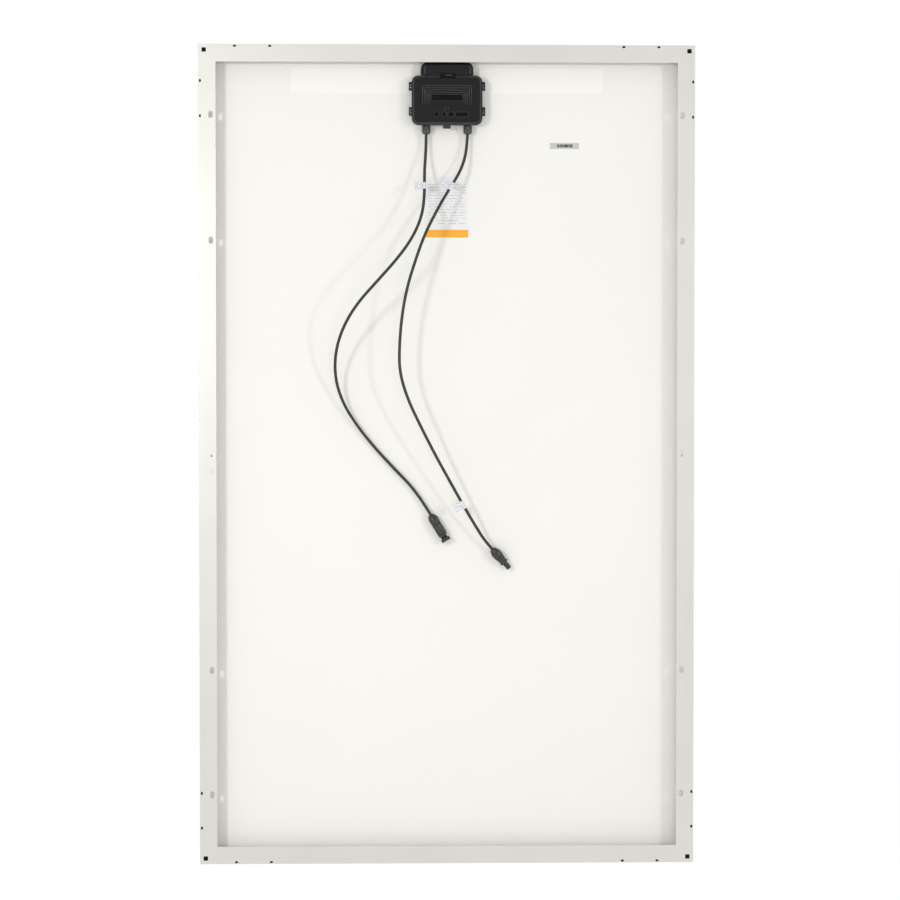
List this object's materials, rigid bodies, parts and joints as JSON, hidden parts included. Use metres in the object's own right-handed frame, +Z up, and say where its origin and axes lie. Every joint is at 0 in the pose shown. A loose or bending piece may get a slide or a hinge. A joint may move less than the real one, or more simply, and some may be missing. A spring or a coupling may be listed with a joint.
{
  "type": "solar panel",
  "caption": "Framed photovoltaic module of crystalline cells, with a rear junction box and cables that end in coupling plugs.",
  "frame": {"origin": "centre of the frame's rear plane, midway between the grounding holes of the two long rails", "axes": "+X to the right seen from behind, +Z up to the junction box end, +Y from the rear of the frame to its glass face"},
  "size_m": [0.992, 0.1096, 1.64],
  "materials": {
    "anodised_aluminium": "clear anodised, satin",
    "mill_aluminium": "mill finish extrusion",
    "solar_glass": "tempered low-iron glass",
    "clear_eva": "clear laminated EVA",
    "silicon_wafer": "blue-black coated silicon",
    "tinned_copper": "bright tin plate",
    "white_film": "satin white film",
    "silicone": "matt",
    "black_plastic": "fine moulded grain",
    "black_rubber": "matt",
    "diode_epoxy": "moulded epoxy",
    "cable_jacket": "matt extruded jacket",
    "label_paper": "satin label stock"
  },
  "bodies": {
    "root": {"frame_rail_bottom": "anodised_aluminium", "frame_rail_right": "anodised_aluminium", "frame_rail_top": "anodised_aluminium", "frame_rail_left": "anodised_aluminium", "corner_key_bottom_left": "mill_aluminium", "corner_key_bottom_right": "mill_aluminium", "corner_key_top_right": "mill_aluminium", "corner_key_top_left": "mill_aluminium", "cell_string_1": "silicon_wafer", "cell_string_2": "silicon_wafer", "cell_string_3": "silicon_wafer", "cell_string_4": "silicon_wafer", "cell_string_5": "silicon_wafer", "cell_string_6": "silicon_wafer", "tabbing_ribbons_1": "tinned_copper", "tabbing_ribbons_2": "tinned_copper", "tabbing_ribbons_3": "tinned_copper", "tabbing_ribbons_4": "tinned_copper", "tabbing_ribbons_5": "tinned_copper", "tabbing_ribbons_6": "tinned_copper", "bus_ribbons": "tinned_copper", "lead_out_ribbons": "tinned_copper", "front_glass": "solar_glass", "front_encapsulant": "clear_eva", "rear_encapsulant": "clear_eva", "insulation_strip": "white_film", "backsheet": "white_film", "edge_seal": "silicone", "jbox_adhesive": "silicone", "jbox_base": "black_plastic", "terminal_1": "tinned_copper", "terminal_2": "tinned_copper", "terminal_3": "tinned_copper", "terminal_4": "tinned_copper", "bypass_diode_1": "diode_epoxy", "bypass_diode_2": "diode_epoxy", "bypass_diode_3": "diode_epoxy", "gland_nut_left": "black_plastic", "gland_seal_left": "black_rubber", "conductor_left": "tinned_copper", "cable_left": "cable_jacket", "plug_nut_left": "black_plastic", "plug_seal_left": "black_rubber", "plug_housing_left": "black_plastic", "plug_contact_left": "tinned_copper", "gland_nut_right": "black_plastic", "gland_seal_right": "black_rubber", "conductor_right": "tinned_copper", "cable_right": "cable_jacket", "plug_nut_right": "black_plastic", "plug_seal_right": "black_rubber", "plug_housing_right": "black_plastic", "plug_contact_right": "tinned_copper", "cable_tag_left": "label_paper", "cable_tag_right_upper": "label_paper", "cable_tag_right_lower": "label_paper", "rating_label": "label_paper", "serial_label": "label_paper"},
    "lid": {"jbox_lid": "black_plastic", "lid_gasket": "black_rubber"}
  },
  "joints": [
    {"name": "lid_lift", "type": "slide", "parent": "root", "child": "lid", "axis": [0, -1, 0], "range_m": [0, 0.06]}
  ]
}
